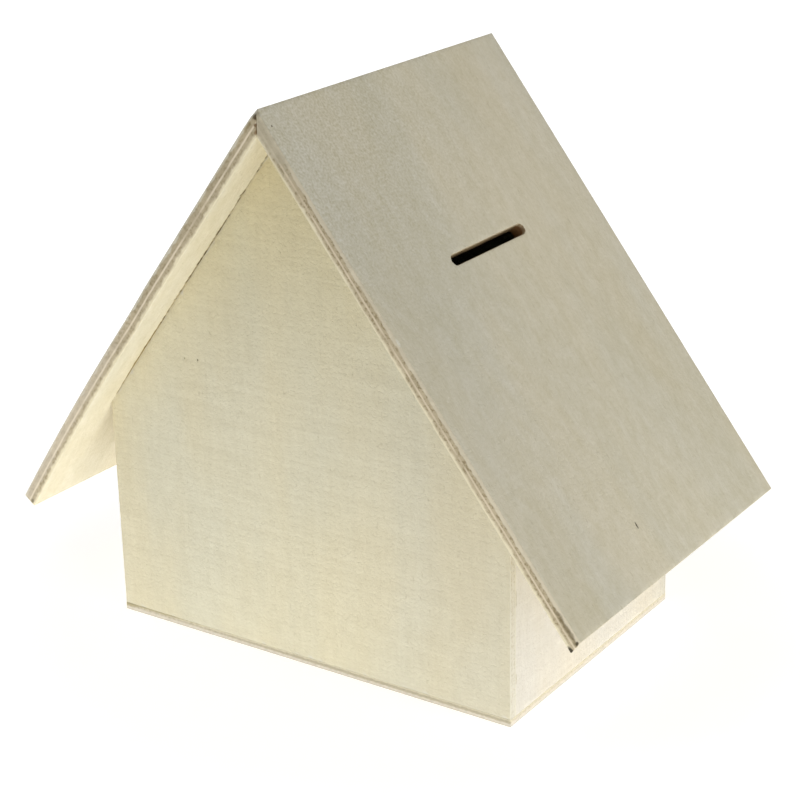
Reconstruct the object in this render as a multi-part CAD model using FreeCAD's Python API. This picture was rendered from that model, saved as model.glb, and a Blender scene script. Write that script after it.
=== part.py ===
import FreeCAD, Part

import math
import os

# House-shaped wooden money box. Millimetres and degrees, +Z up, front gable towards -Y.
# The origin is on the surface that the box stands on, under the middle of the house.

# House body
body_width = 120.0
body_depth = 80.0
wall_height = 57.5
gable_ply = 2.5
wall_ply = 2.5
base_ply = 2.0

# Roof: two boards mitred along the ridge, measured on their outer faces
roof_pitch = 52.7
roof_ply = 4.0
roof_slope_length = 139.5
roof_overhang = 10.5

# Coin slot in the right roof board, along the ridge, with round ends
slot_length = 33.0
slot_width = 3.0
slot_from_ridge = 50.0

# Emptying hole in the base, rebated underneath so that the stopper's flange sits inside the base
hole_diameter = 30.0
ledge_ply = 1.0
flange_side_gap = 0.3
flange_seat_gap = 0.1
flange_set_in = 0.2

# Stopper: a cup that opens downwards, with a grip web across it to pinch
stopper_height = 7.0
stopper_fit = 0.08
flange_lip = 2.0
skirt_thickness = 1.5
crown_thickness = 1.5
lead_in = 0.8
grip_thickness = 2.0
grip_set_in = 0.5

# How far a cutting shape runs past the board that it cuts
cutter_overrun = 1.0

# Levels and places that follow from the sizes
pitch = math.radians(roof_pitch)
half_width = body_width / 2
half_depth = body_depth / 2
roof_half_depth = half_depth + roof_overhang
wall_top = base_ply + wall_height
ridge_inner = wall_top + half_width * math.tan(pitch)
ridge_outer = ridge_inner + roof_ply / math.cos(pitch)

hole_radius = hole_diameter / 2
plug_radius = hole_radius - stopper_fit
recess_radius = plug_radius - skirt_thickness
flange_radius = hole_radius + flange_lip
rebate_radius = flange_radius + flange_side_gap
rebate_depth = base_ply - ledge_ply
flange_top = rebate_depth - flange_seat_gap
crown_underside = stopper_height - crown_thickness


def roof_underside(x):
    """Height of the roof's inner face above a point x to the side of the middle."""
    return wall_top + (half_width - abs(x)) * math.tan(pitch)


def roof_point(down, inward):
    """Point (x, z) of the right roof board, down its outer face and inward from that face."""
    x = down * math.cos(pitch) - inward * math.sin(pitch)
    z = ridge_outer - down * math.sin(pitch) - inward * math.cos(pitch)
    return x, z


def mirrored(outline):
    """The same (x, z) outline on the other side of the house."""
    return [(-x, z) for x, z in outline]


def board(outline, y_front, y_rear):
    """Flat board with an (x, z) outline, from y_front to y_rear."""
    corners = [FreeCAD.Vector(x, y_front, z) for x, z in outline]
    face = Part.Face(Part.makePolygon(corners + corners[:1]))
    return face.extrude(FreeCAD.Vector(0, y_rear - y_front, 0))


def cylinder(radius, z_low, z_high):
    """Upright cylinder on the middle axis of the house."""
    return Part.makeCylinder(radius, z_high - z_low, FreeCAD.Vector(0, 0, z_low))


def gable(y_front):
    """Full-width gable board whose front face is at y_front."""
    outline = [
        (-half_width, base_ply),
        (half_width, base_ply),
        (half_width, wall_top),
        (0, ridge_inner),
        (-half_width, wall_top),
    ]
    return board(outline, y_front, y_front + gable_ply)


def side_wall_outline():
    """Right side wall, its top bevelled to the roof."""
    inner_face = half_width - wall_ply
    return [
        (inner_face, base_ply),
        (half_width, base_ply),
        (half_width, wall_top),
        (inner_face, roof_underside(inner_face)),
    ]


def side_wall(outline):
    """Side wall that stands between the two gables."""
    return board(outline, gable_ply - half_depth, half_depth - gable_ply)


def roof_outline():
    """Right roof board: mitred upright at the ridge, cut square at the eave."""
    return [
        (0, ridge_outer),
        roof_point(roof_slope_length, 0),
        roof_point(roof_slope_length, roof_ply),
        (0, ridge_inner),
    ]


def roof_board(outline):
    """Roof board that overhangs both gables."""
    return board(outline, -roof_half_depth, roof_half_depth)


def coin_slot():
    """Round-ended cutter that runs square through the right roof board."""
    half_slot = slot_width / 2
    end_centre = slot_length / 2 - half_slot
    depth = roof_ply + 2 * cutter_overrun
    front_upper = FreeCAD.Vector(-half_slot, -end_centre, 0)
    front_tip = FreeCAD.Vector(0, -slot_length / 2, 0)
    front_lower = FreeCAD.Vector(half_slot, -end_centre, 0)
    rear_lower = FreeCAD.Vector(half_slot, end_centre, 0)
    rear_tip = FreeCAD.Vector(0, slot_length / 2, 0)
    rear_upper = FreeCAD.Vector(-half_slot, end_centre, 0)
    edges = [
        Part.Arc(front_upper, front_tip, front_lower).toShape(),
        Part.LineSegment(front_lower, rear_lower).toShape(),
        Part.Arc(rear_lower, rear_tip, rear_upper).toShape(),
        Part.LineSegment(rear_upper, front_upper).toShape(),
    ]
    cutter = Part.Face(Part.Wire(edges)).extrude(FreeCAD.Vector(0, 0, depth))
    cutter.rotate(FreeCAD.Vector(0, 0, 0), FreeCAD.Vector(0, 1, 0), roof_pitch)
    x, z = roof_point(slot_from_ridge, roof_ply + cutter_overrun)
    cutter.translate(FreeCAD.Vector(x, 0, z))
    return cutter


def base_plate():
    """Base under the walls, with the emptying hole and the rebate for the stopper's flange."""
    corner = FreeCAD.Vector(-half_width, -half_depth, 0)
    plate = Part.makeBox(body_width, body_depth, base_ply, corner)
    hole = cylinder(hole_radius, -cutter_overrun, base_ply + cutter_overrun)
    rebate = cylinder(rebate_radius, -cutter_overrun, rebate_depth)
    return plate.cut(hole.fuse(rebate))


def stopper():
    """Push-in stopper: flanged cup with a tapered lead-in, closed by its crown, and a grip web."""
    profile = [
        (recess_radius, flange_set_in),
        (flange_radius, flange_set_in),
        (flange_radius, flange_top),
        (plug_radius, flange_top),
        (plug_radius, stopper_height - lead_in),
        (plug_radius - lead_in, stopper_height),
        (0, stopper_height),
        (0, crown_underside),
        (recess_radius, crown_underside),
    ]
    points = [FreeCAD.Vector(r, 0, z) for r, z in profile]
    section = Part.Face(Part.makePolygon(points + points[:1]))
    cup = section.revolve(FreeCAD.Vector(0, 0, 0), FreeCAD.Vector(0, 0, 1), 360)
    grip_reach = recess_radius + skirt_thickness / 2
    grip_foot = flange_set_in + grip_set_in
    grip_root = crown_underside + crown_thickness / 2
    corner = FreeCAD.Vector(-grip_reach, -grip_thickness / 2, grip_foot)
    grip = Part.makeBox(2 * grip_reach, grip_thickness, grip_root - grip_foot, corner)
    return cup.fuse(grip).removeSplitter()


pieces = {
    "front_gable": gable(-half_depth),
    "rear_gable": gable(half_depth - gable_ply),
    "left_side_wall": side_wall(mirrored(side_wall_outline())),
    "right_side_wall": side_wall(side_wall_outline()),
    "base_plate": base_plate(),
    "left_roof_panel": roof_board(mirrored(roof_outline())),
    "right_roof_panel": roof_board(roof_outline()).cut(coin_slot()),
    "base_stopper": stopper(),
}

os.makedirs("parts", exist_ok=True)
for name, shape in pieces.items():
    shape.exportStep(f"parts/{name}.step")
    print(f"{name}: {len(shape.Solids)} solid, {shape.Volume:.1f} cubic mm")
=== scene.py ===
"""Dresses the wooden money box: plywood boards with worn edges, a moulded stopper, a plain studio."""

import logging
import math
from collections.abc import Callable, Sequence
from dataclasses import dataclass, replace
from enum import Enum
from functools import cache

import bmesh
import bpy
from bmesh.types import BMEdge, BMFace, BMVert
from bpy.types import Material, MeshVertex, Modifier, Node, NodeOutputs, NodeSocket, NodeTree
from mathutils import Matrix, Quaternion, Vector


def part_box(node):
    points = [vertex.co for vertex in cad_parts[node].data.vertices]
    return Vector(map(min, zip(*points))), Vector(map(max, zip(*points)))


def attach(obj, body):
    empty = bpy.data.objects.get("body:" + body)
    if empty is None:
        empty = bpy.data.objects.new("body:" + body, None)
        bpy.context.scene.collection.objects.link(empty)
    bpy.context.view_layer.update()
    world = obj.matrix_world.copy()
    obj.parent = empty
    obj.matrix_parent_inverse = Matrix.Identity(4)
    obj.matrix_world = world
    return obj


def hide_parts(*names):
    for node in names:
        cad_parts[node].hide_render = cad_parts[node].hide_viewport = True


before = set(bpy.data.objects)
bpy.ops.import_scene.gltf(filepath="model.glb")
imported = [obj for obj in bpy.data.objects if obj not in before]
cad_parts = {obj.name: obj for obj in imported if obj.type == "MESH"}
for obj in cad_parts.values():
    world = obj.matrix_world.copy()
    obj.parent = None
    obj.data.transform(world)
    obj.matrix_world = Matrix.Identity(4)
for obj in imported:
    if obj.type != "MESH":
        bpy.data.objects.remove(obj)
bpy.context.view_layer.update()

log = logging.getLogger("money_box")

MM = 0.001
BOARD_ATTRIBUTE = "board"

# How far a cutter runs past what it cuts, how near counts as touching, and how exact a saw cut is
OVERRUN = 2.0 * MM
TOUCHING = 0.1 * MM
SAW_SLACK = 0.001 * MM

# Cosines down to which a surface faces a direction, and below which it is an arris
FACING = 0.9
ARRIS = 0.96

# Angles from which an edge is eased, and from which it shows as an edge
EASED_ANGLE = math.radians(30.0)
SHOWN_ANGLE = math.radians(32.0)

# Faces across a rounded edge, and the rounding that makes an end round, as a share of its width
ROUNDING = 2
ROUND_END = 0.499

# Sides of a pit, the spread of the painted shade that darkens it as shares of its radius and depth, and how
# dense that painted shade is
PIT_SIDES = 9
PIT_SHADE_SPREAD = 1.6
PIT_SHADE_DEPTH = 3.0
PIT_SHADE_STRENGTH = 0.95

# Middle of the noise, and the places of the two colours and of their mixture on a Mix node
NOISE_MIDDLE = 0.5
MIX_FIRST = 6
MIX_SECOND = 7
MIX_RESULT = 2

# Directions of a board: along its grain, across it and into its thickness
ALONG = (1.0, 0.0, 0.0)
ACROSS = (0.0, 1.0, 0.0)
INWARD = (0.0, 0.0, 1.0)

# Directions of the house
X_AXIS = Vector((1.0, 0.0, 0.0))
Y_AXIS = Vector((0.0, 1.0, 0.0))
Z_AXIS = Vector((0.0, 0.0, 1.0))

Triple = tuple[float, float, float]
Colour = str | tuple[float, float, float, float]
Source = Node | NodeSocket | float | str | Sequence[float]
Test = Callable[..., bool]
Weight = Callable[[MeshVertex], float]


class Body(Enum):
    """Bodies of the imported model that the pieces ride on."""

    HOUSE = "house"
    STOPPER = "stopper"


class Slot(Enum):
    """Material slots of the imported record."""

    WALL = "wall_plywood"
    ROOF = "roof_plywood"
    BASE = "base_plywood"
    PLASTIC = "stopper_plastic"


class Side(Enum):
    """Which slope or side of the house a board is on, as the sign of its X."""

    LEFT = -1
    RIGHT = 1


class End(Enum):
    """Which gable end a board is on, as the sign of its Y."""

    FRONT = -1
    REAR = 1


class Pick(Enum):
    """What is selected in edit mode."""

    FACES = "FACE"
    EDGES = "EDGE"
    POINTS = "VERT"


class Kind(Enum):
    """Kinds of sockets that a node group has."""

    VALUE = "NodeSocketFloat"
    COLOUR = "NodeSocketColor"
    VECTOR = "NodeSocketVector"


def tint(code: str) -> tuple[float, float, float, float]:
    """Turn a colour as seen on a screen into the linear colour that a shader takes.

    Args:
        code: Six hexadecimal digits, red, green and blue.

    Returns:
        Linear red, green and blue, with an alpha of one.
    """
    shares = [int(code[place : place + 2], 16) / 255.0 for place in (0, 2, 4)]
    linear = [s / 12.92 if s <= 0.04045 else ((s + 0.055) / 1.055) ** 2.4 for s in shares]
    return (*linear, 1.0)


# Frames and sizes


@dataclass(frozen=True)
class BoardFrame:
    """Where a board's outer face lies and which way its grain runs.

    Attributes:
        origin: Point of the outer face that the board is measured from.
        grain: Unit vector along the face grain.
        across: Unit vector across the grain, in the face.
        outward: Unit vector out of the outer face.
    """

    origin: Vector
    grain: Vector
    across: Vector
    outward: Vector

    def measure(self, point: Vector) -> Vector:
        """Give a point's distances along the grain, across it and below the outer face."""
        offset = point - self.origin
        return Vector((offset.dot(self.grain), offset.dot(self.across), -offset.dot(self.outward)))

    def place(self, along: float, across: float, depth: float) -> Vector:
        """Give the point at three distances along the grain, across it and below the outer face."""
        return self.origin + along * self.grain + across * self.across - depth * self.outward

    def outer_edge(self, edge: BMEdge) -> bool:
        """Tell whether an edge lies in the board's outer face."""
        return all(self.measure(point.co).z < TOUCHING for point in edge.verts)

    def arris(self, point: MeshVertex) -> float:
        """Weigh a point by its normal: one on a rounded arris and zero on a flat face."""
        axes = (self.grain, self.across, self.outward)
        return float(max(abs(point.normal.dot(axis)) for axis in axes) < ARRIS)


@dataclass(frozen=True)
class HouseSizes:
    """Sizes of the house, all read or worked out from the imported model.

    Attributes:
        half_width: Half the house across its gable.
        half_depth: Half the house from gable to gable.
        base_top: Height of the base plate's upper face.
        wall_ply: Thickness of the side walls.
        gable_ply: Thickness of the gables.
        ridge_inner: Height at which the roof's inner faces meet.
        ridge_outer: Height of the ridge.
        pitch: Slope of the roof, in radians.
        roof_half_depth: Half the roof along its ridge.
        slope_length: Roof's outer face from ridge to eave.
    """

    half_width: float
    half_depth: float
    base_top: float
    wall_ply: float
    gable_ply: float
    ridge_inner: float
    ridge_outer: float
    pitch: float
    roof_half_depth: float
    slope_length: float

    @classmethod
    def from_frame(cls) -> "HouseSizes":
        """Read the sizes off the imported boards.

        Returns:
            The sizes in metres and radians.
        """
        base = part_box("base_plate")[1]
        gable_low, gable_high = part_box("front_gable")
        wall_low, wall_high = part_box("right_side_wall")
        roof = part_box("right_roof_panel")[1]
        pitch = math.atan2(gable_high.z - wall_high.z, wall_low.x)
        return cls(
            half_width=base.x,
            half_depth=base.y,
            base_top=base.z,
            wall_ply=wall_high.x - wall_low.x,
            gable_ply=gable_high.y - gable_low.y,
            ridge_inner=gable_high.z,
            ridge_outer=roof.z,
            pitch=pitch,
            roof_half_depth=roof.y,
            slope_length=roof.x / math.cos(pitch),
        )

    @property
    def roof_ply(self) -> float:
        """Thickness of the roof boards."""
        return (self.ridge_outer - self.ridge_inner) * math.cos(self.pitch)

    def roof_frame(self, side: Side) -> BoardFrame:
        """Frame of a roof board, with its grain down the slope.

        Args:
            side: Slope that the board is on.

        Returns:
            The frame, measured from the middle of the ridge.
        """
        down = Vector((side.value * math.cos(self.pitch), 0.0, -math.sin(self.pitch)))
        outward = Vector((side.value * math.sin(self.pitch), 0.0, math.cos(self.pitch)))
        return BoardFrame(Vector((0.0, 0.0, self.ridge_outer)), down, Y_AXIS, outward)

    def gable_frame(self, end: End) -> BoardFrame:
        """Frame of a gable, with its grain upright, from the foot of its middle line."""
        foot = Vector((0.0, end.value * self.half_depth, 0.0))
        return BoardFrame(foot, Z_AXIS, X_AXIS, end.value * Y_AXIS)

    def wall_frame(self, side: Side) -> BoardFrame:
        """Frame of a side wall, with its grain upright, from the foot of its middle line."""
        foot = Vector((side.value * self.half_width, 0.0, 0.0))
        return BoardFrame(foot, Z_AXIS, Y_AXIS, side.value * X_AXIS)


# Modelling steps


@dataclass(frozen=True)
class Wear:
    """How an arris or a cut edge is rubbed or torn.

    Attributes:
        name: Name of the damage.
        depth: Deepest damage.
        grain: Size of one patch of damage.
        spared: Share of the noise below which nothing is worn.
        contrast: How suddenly the damage sets in.
    """

    name: str
    depth: float
    grain: float
    spared: float = 0.4
    contrast: float = 2.5


@dataclass(frozen=True)
class StainAndShade:
    """A patch of another colour on a board; some are marks of the wood and some are painted shade.

    Attributes:
        place: Its middle along the grain, across it and below the outer face, in millimetres.
        reach: How far it reaches in those directions, in millimetres.
        colour: Its colour.
        strength: How much of the wood it covers in its middle.
        broken: How far it is broken up into dots.
    """

    place: Triple
    reach: Triple
    colour: Colour
    strength: float
    broken: float = 1.1

    @property
    def centre(self) -> list[float]:
        """Its middle, in metres."""
        return [distance * MM for distance in self.place]

    @property
    def share_per_metre(self) -> list[float]:
        """How fast it runs out in each direction."""
        return [1.0 / (distance * MM) for distance in self.reach]


@dataclass(frozen=True)
class Mark:
    """A small pit in the outer face of a board, darkened with painted shade, in millimetres.

    Attributes:
        along: Its place along the grain.
        across: Its place across the grain.
        radius: Its radius at the face.
        depth: Its depth.
        stretch: How much longer it is along the grain than across.
        colour: Colour of the dirt.
    """

    along: float
    across: float
    radius: float
    depth: float
    # colour: Colour of the painted shade in it.
    stretch: float
    colour: Colour

    def pit_shade(self) -> StainAndShade:
        """Describe the painted shade that darkens the pit.

        Returns:
            A patch of painted shade that covers the pit and its rim.
        """
        spread = PIT_SHADE_SPREAD * self.radius
        reach = (spread * self.stretch, spread, PIT_SHADE_DEPTH * self.depth)
        return StainAndShade((self.along, self.across, self.depth / 2), reach, self.colour, PIT_SHADE_STRENGTH)


class Workpiece:
    """A piece on the bench, and the steps that shape it, each an operator or an applied modifier."""

    def __init__(self, name: str) -> None:
        """Take up the primitive that was just added, and name it.

        Args:
            name: Name of the piece.
        """
        self.piece = bpy.context.active_object
        self.piece.name = name
        self.piece.data.name = name
        self.settle()

    @classmethod
    def block(cls, name: str, centre: Vector, size: Sequence[float], turn: float = 0.0) -> "Workpiece":
        """Add a box at its size and place.

        Args:
            name: Name of the piece.
            centre: Middle of the box.
            size: Its three sides, before it is turned.
            turn: Turn about the ridge's direction, in radians.

        Returns:
            The new piece.
        """
        cls.clear()
        bpy.ops.mesh.primitive_cube_add(size=1.0, location=centre, rotation=(0.0, turn, 0.0), scale=size)
        return cls(name)

    @classmethod
    def disc(cls, name: str, radius: float, low: float, high: float, sides: int) -> "Workpiece":
        """Add an upright round block on the middle axis of the house.

        Args:
            name: Name of the piece.
            radius: Radius of the block.
            low: Height of its lower face.
            high: Height of its upper face.
            sides: Number of sides that stand for the circle.

        Returns:
            The new piece.
        """
        cls.clear()
        middle = (0.0, 0.0, (low + high) / 2)
        bpy.ops.mesh.primitive_cylinder_add(vertices=sides, radius=radius, depth=high - low, location=middle)
        return cls(name)

    @staticmethod
    def clear() -> None:
        """Leave edit mode and let go of everything that is selected."""
        if bpy.context.object and bpy.context.object.mode != "OBJECT":
            bpy.ops.object.mode_set(mode="OBJECT")
        bpy.ops.object.select_all(action="DESELECT")

    def hold(self) -> None:
        """Make the piece the active one and the only one selected."""
        self.clear()
        self.piece.select_set(True)
        bpy.context.view_layer.objects.active = self.piece

    def settle(self) -> None:
        """Put the piece's place and turn into its mesh."""
        self.hold()
        bpy.ops.object.transform_apply(location=True, rotation=True, scale=True)

    def edit(self) -> None:
        """Open the piece in edit mode with all of it selected."""
        self.hold()
        bpy.ops.object.mode_set(mode="EDIT")
        bpy.ops.mesh.select_all(action="SELECT")

    def pick(self, kind: Pick, wanted: Test) -> None:
        """Select the faces, edges or points that pass a test, in edit mode.

        Args:
            kind: What to select.
            wanted: Test of one of them.
        """
        bpy.ops.mesh.select_all(action="DESELECT")
        bpy.ops.mesh.select_mode(type=kind.value)
        shape = bmesh.from_edit_mesh(self.piece.data)
        for element in getattr(shape, f"{kind.value.lower()}s"):
            if wanted(element):
                element.select_set(True)
        bmesh.update_edit_mesh(self.piece.data)

    def saw(self, point: Vector, normal: Vector) -> None:
        """Cut off what lies beyond a plane and close the cut.

        Args:
            point: Point on the plane.
            normal: Direction of what is cut off.
        """
        self.edit()
        bpy.ops.mesh.bisect(
            plane_co=point, plane_no=normal, use_fill=True, clear_outer=True, threshold=SAW_SLACK
        )
        self.clear()

    def score(self, start: Vector, reach: Vector, step: float) -> None:
        """Divide the piece by evenly spaced planes, so that its edges can wear and its faces bow.

        Args:
            start: Point on one end of the piece.
            reach: Vector from there to the other end.
            step: About how far apart the planes are.
        """
        count = round(reach.length / step)
        self.edit()
        for place in range(1, count):
            bpy.ops.mesh.select_all(action="SELECT")
            bpy.ops.mesh.bisect(plane_co=start + reach * (place / count), plane_no=reach.normalized())
        self.clear()

    def chip(self, corner: Vector, legs: Sequence[Vector]) -> None:
        """Break a corner off the piece.

        Args:
            corner: Corner that breaks off.
            legs: How far the break reaches along the corner's three edges.
        """
        first, second, third = legs
        normal = (second - first).cross(third - first).normalized()
        if normal.dot(first) > 0.0:
            normal.negate()
        self.saw(corner + first, normal)

    def round_over(self, wanted: Test, width: float) -> None:
        """Round the edges that pass a test.

        Args:
            wanted: Test of one edge.
            width: Width of the rounding on each face.
        """
        self.edit()
        self.pick(Pick.EDGES, wanted)
        bpy.ops.mesh.bevel(offset=width, segments=ROUNDING, affect="EDGES")
        self.clear()

    def nudge(self, wanted: Test, shift: Vector, reach: float) -> None:
        """Move the points that pass a test, and drag along what lies near them.

        Args:
            wanted: Test of one point.
            shift: How far the points move.
            reach: How far away from them the drag ends.
        """
        self.edit()
        self.pick(Pick.POINTS, wanted)
        bpy.ops.transform.translate(
            value=shift,
            use_proportional_edit=True,
            proportional_edit_falloff="SHARP",
            proportional_size=reach,
        )
        self.clear()

    def apply(self, modifier: Modifier) -> None:
        """Make a modifier's result the piece's own mesh."""
        self.hold()
        bpy.ops.object.modifier_apply(modifier=modifier.name)

    def carve(self, cutter: "Workpiece", operation: str = "DIFFERENCE") -> None:
        """Cut another piece out of this one, or join it on, and use it up.

        Args:
            cutter: Piece that is used up.
            operation: Boolean operation to make.
        """
        carving = self.piece.modifiers.new("carve", "BOOLEAN")
        carving.operation = operation
        carving.solver = "EXACT"
        carving.object = cutter.piece
        self.apply(carving)
        bpy.data.objects.remove(cutter.piece, do_unlink=True)

    def prick(self, board: BoardFrame, marks: Sequence[Mark]) -> None:
        """Carve marks into a board's outer face.

        Args:
            board: Frame of the board.
            marks: Marks to carve.
        """
        for mark in marks:
            self.clear()
            bpy.ops.mesh.primitive_cone_add(
                vertices=PIT_SIDES,
                radius1=0.0,
                radius2=2 * mark.radius * MM,
                depth=2 * mark.depth * MM,
                location=board.place(mark.along * MM, mark.across * MM, 0.0),
                rotation=board.outward.to_track_quat("Z", "Y").to_euler(),
                scale=(1.0, mark.stretch, 1.0),
            )
            self.carve(Workpiece("pit"))

    def ease(self, width: float, segments: int = ROUNDING) -> None:
        """Round every sharp edge of the piece a little.

        Args:
            width: Width of the rounding on each face.
            segments: Number of faces across the rounding.
        """
        easing = self.piece.modifiers.new("ease", "BEVEL")
        easing.width = width
        easing.segments = segments
        easing.limit_method = "ANGLE"
        easing.angle_limit = EASED_ANGLE
        easing.use_clamp_overlap = False
        self.apply(easing)

    def wear(self, damage: Wear, weight: Weight) -> None:
        """Wear the piece inward where its points have a weight.

        Args:
            damage: Depth and grain of the damage.
            weight: Share of the damage that a point takes.
        """
        group = self.piece.vertex_groups.new(name=damage.name)
        for point in self.piece.data.vertices:
            share = weight(point)
            if share > 0.0:
                group.add([point.index], share, "REPLACE")
        cloud = bpy.data.textures.new(damage.name, "CLOUDS")
        cloud.noise_scale = damage.grain
        cloud.noise_depth = 1
        cloud.use_clamp = True
        cloud.contrast = damage.contrast
        cloud.intensity = NOISE_MIDDLE + (NOISE_MIDDLE - damage.spared) * damage.contrast
        rubbing = self.piece.modifiers.new(damage.name, "DISPLACE")
        rubbing.texture = cloud
        rubbing.texture_coords = "LOCAL"
        rubbing.vertex_group = group.name
        rubbing.mid_level = 0.0
        rubbing.strength = -damage.depth
        self.apply(rubbing)
        self.piece.vertex_groups.remove(self.piece.vertex_groups[damage.name])

    def map_board(self, board: BoardFrame) -> None:
        """Keep each point's place on its board, for the wood's grain and plies to follow.

        Args:
            board: Frame of the board.
        """
        places = self.piece.data.attributes.new(BOARD_ATTRIBUTE, "FLOAT_VECTOR", "POINT")
        for point in self.piece.data.vertices:
            places.data[point.index].vector = board.measure(point.co)

    def dress(self, finish: Material) -> None:
        """Shade the piece smooth across its gentle edges and give it its finish.

        Args:
            finish: Finish of the whole piece.
        """
        self.hold()
        bpy.ops.object.shade_smooth_by_angle(angle=SHOWN_ANGLE)
        self.piece.data.materials.append(finish)

    def repaint(self, wanted: Test, finish: Material) -> None:
        """Give the faces that pass a test another finish.

        Args:
            wanted: Test of one face.
            finish: Finish of those faces.
        """
        self.piece.data.materials.append(finish)
        self.edit()
        self.pick(Pick.FACES, wanted)
        self.piece.active_material_index = len(self.piece.data.materials) - 1
        bpy.ops.object.material_slot_assign()
        self.clear()

    def hand_over(self, node: str, body: Body, slot: Slot) -> None:
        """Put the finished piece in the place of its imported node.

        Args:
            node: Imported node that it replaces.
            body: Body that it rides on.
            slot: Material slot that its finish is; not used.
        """
        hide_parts(node)
        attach(self.piece, body.value)
        log.info("%s: %d faces, replaces %s", self.piece.name, len(self.piece.data.polygons), node)


# Finishes


class NodeSheet:
    """A short way to add and wire nodes in one material, world or node group."""

    def __init__(self, tree: NodeTree) -> None:
        """Start on an empty tree."""
        self.tree = tree
        tree.nodes.clear()

    def add(self, kind: str, *sources: Source, **settings: object) -> Node:
        """Add a node, set its options and feed its first inputs.

        Args:
            kind: Node type, without ShaderNode before it.
            *sources: Links or values of its inputs, in order.
            **settings: Options of the node.

        Returns:
            The new node.
        """
        node = self.tree.nodes.new(kind if kind.startswith("NodeGroup") else f"ShaderNode{kind}")
        for name, value in settings.items():
            setattr(node, name, value)
        for socket, source in zip(node.inputs, sources):
            self.feed(socket, source)
        return node

    def feed(self, socket: NodeSocket, source: Source) -> None:
        """Link a socket to another one, or set its value.

        Args:
            socket: Input to feed.
            source: Output to link, node whose first output to link, colour code or value to set.
        """
        if isinstance(source, Node):
            source = source.outputs[0]
        if isinstance(source, NodeSocket):
            self.tree.links.new(source, socket)
        else:
            socket.default_value = tint(source) if isinstance(source, str) else source

    def place(self, group: NodeTree, values: object, **others: Source) -> NodeOutputs:
        """Place a node group, and feed each of its inputs from the value with that name.

        Args:
            group: Group to place.
            values: Finish, cast or stain that holds the values.
            **others: Links and values that it doesn't hold.

        Returns:
            The outputs of the placed group.
        """
        node = self.add("Group", node_tree=group)
        for socket in node.inputs:
            name = socket.name.lower().replace(" ", "_")
            self.feed(socket, others[name] if name in others else getattr(values, name))
        return node.outputs

    def maths(self, operation: str, *sources: Source, clamp: bool = False) -> Node:
        """Work out a value from others, kept between zero and one if it is clamped."""
        return self.add("Math", *sources, operation=operation, use_clamp=clamp)

    def plus(self, first: Source, second: Source) -> Node:
        """Add two values."""
        return self.maths("ADD", first, second)

    def times(self, first: Source, second: Source) -> Node:
        """Multiply two values."""
        return self.maths("MULTIPLY", first, second)

    def rest(self, share: Source) -> Node:
        """Give what a share leaves of one."""
        return self.maths("SUBTRACT", 1.0, share)

    def swing(self, noise: Source, strength: Source) -> Node:
        """Turn noise around one half into a swing around zero of a given strength."""
        return self.times(self.maths("SUBTRACT", noise, NOISE_MIDDLE), strength)

    def vector(self, operation: str, *sources: Source) -> Node:
        """Work out a vector from others."""
        return self.add("VectorMath", *sources, operation=operation)

    def length(self, operation: str, *sources: Source) -> NodeSocket:
        """Work out a length or a distance from vectors."""
        return self.vector(operation, *sources).outputs["Value"]

    def split(self, vector: Source) -> NodeOutputs:
        """Split a vector into its X, Y and Z."""
        return self.add("SeparateXYZ", vector).outputs

    def noise(
        self, place: Source, scale: Triple, seed: Source, detail: float = 2.0, rough: float = 0.5
    ) -> Node:
        """Add noise that is stretched to its own scale in each direction.

        Args:
            place: Vector that the noise is read at.
            scale: Patches per metre in each direction.
            seed: Value that sets one board's noise apart from another's.
            detail: Number of finer layers.
            rough: How strong the finer layers are.

        Returns:
            The noise, around one half.
        """
        stretched = self.vector("MULTIPLY", place, scale)
        options = {"noise_dimensions": "4D", "normalize": True}
        return self.add("TexNoise", stretched, seed, 1.0, detail, rough, **options)

    def ramp(self, value: Source, low: Source, high: Source) -> Node:
        """Rise smoothly from zero at a low value to one at a high value."""
        return self.add("MapRange", value, low, high, interpolation_type="SMOOTHSTEP")

    def blend(self, share: Source, first: Source, second: Source, manner: str = "MIX") -> NodeSocket:
        """Mix two colours.

        Args:
            share: Share of the second colour.
            first: Colour at zero.
            second: Colour at one.
            manner: How the second colour is laid on the first.

        Returns:
            The mixed colour.
        """
        node = self.add("Mix", share, data_type="RGBA", blend_type=manner)
        self.feed(node.inputs[MIX_FIRST], first)
        self.feed(node.inputs[MIX_SECOND], second)
        return node.outputs[MIX_RESULT]

    def surface(
        self, colour: Source, roughness: Source, gloss: float, height: Source, relief: float
    ) -> None:
        """Finish a material with its shader, its relief and its output.

        Args:
            colour: Colour of the surface.
            roughness: Roughness of the surface.
            gloss: Specular level of the surface.
            height: Height of the relief, between zero and one.
            relief: Depth of the relief.
        """
        bump = self.add("Bump")
        shader = self.add("BsdfPrincipled")
        feeds = (
            (bump, "Strength", 1.0),
            (bump, "Distance", relief),
            (bump, "Height", height),
            (shader, "Base Color", colour),
            (shader, "Roughness", roughness),
            (shader, "Specular IOR Level", gloss),
            (shader, "Normal", bump),
        )
        for node, name, source in feeds:
            self.feed(node.inputs[name], source)
        self.add("OutputMaterial", shader)


class GroupSheet(NodeSheet):
    """A sheet for a shader node group with named inputs and outputs."""

    def __init__(
        self, name: str, inputs: dict[Kind, Sequence[str]], outputs: dict[Kind, Sequence[str]]
    ) -> None:
        """Make the group and its sockets.

        Args:
            name: Name of the group.
            inputs: Names of the inputs of each kind.
            outputs: Names of the outputs of each kind.
        """
        super().__init__(bpy.data.node_groups.new(name, "ShaderNodeTree"))
        for way, sockets in (("INPUT", inputs), ("OUTPUT", outputs)):
            for kind, names in sockets.items():
                for socket in names:
                    self.tree.interface.new_socket(name=socket, in_out=way, socket_type=kind.value)
        self.given = self.add("NodeGroupInput").outputs
        self.results = self.add("NodeGroupOutput").inputs


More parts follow.
